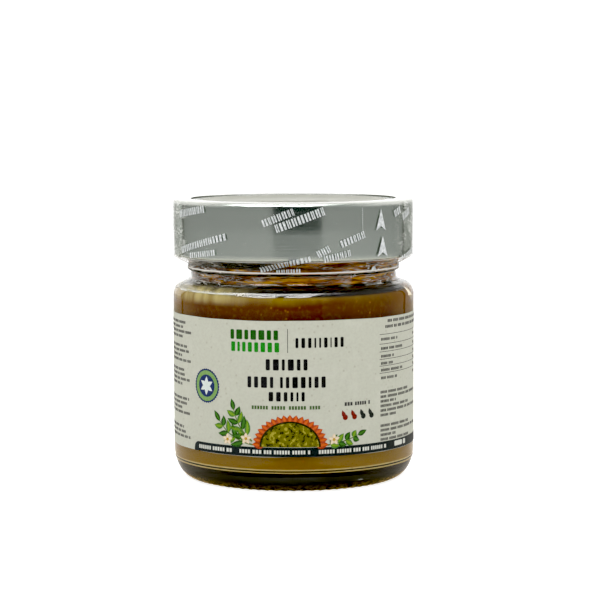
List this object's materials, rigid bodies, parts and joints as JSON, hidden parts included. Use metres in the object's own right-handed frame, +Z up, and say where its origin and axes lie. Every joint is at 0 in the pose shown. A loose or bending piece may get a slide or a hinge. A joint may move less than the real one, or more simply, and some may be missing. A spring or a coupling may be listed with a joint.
{
  "type": "jar of green hot pepper sauce",
  "caption": "Squat glass jar of green hot pepper sauce with a deep silver twist cap, a printed paper label round its body and a clear shrink band over cap and neck.",
  "frame": {"origin": "middle of the base, on the surface the jar stands on", "axes": "+Z up along the jar's axis, -Y towards the front of the label"},
  "size_m": [0.0702, 0.0702, 0.081],
  "materials": {
    "clear_glass": "clear moulded flint glass, glossy",
    "green_pepper_sauce": "thick olive green to brown sauce with specks, wet",
    "silver_tinplate": "smooth satin silver sheet",
    "printed_paper": null,
    "clear_film": "clear crinkled shrink film with white marks"
  },
  "bodies": {
    "root": {"glass_jar": "clear_glass", "sauce": "green_pepper_sauce", "lid": "silver_tinplate", "label": "printed_paper", "seal_band": "clear_film"}
  },
  "joints": []
}
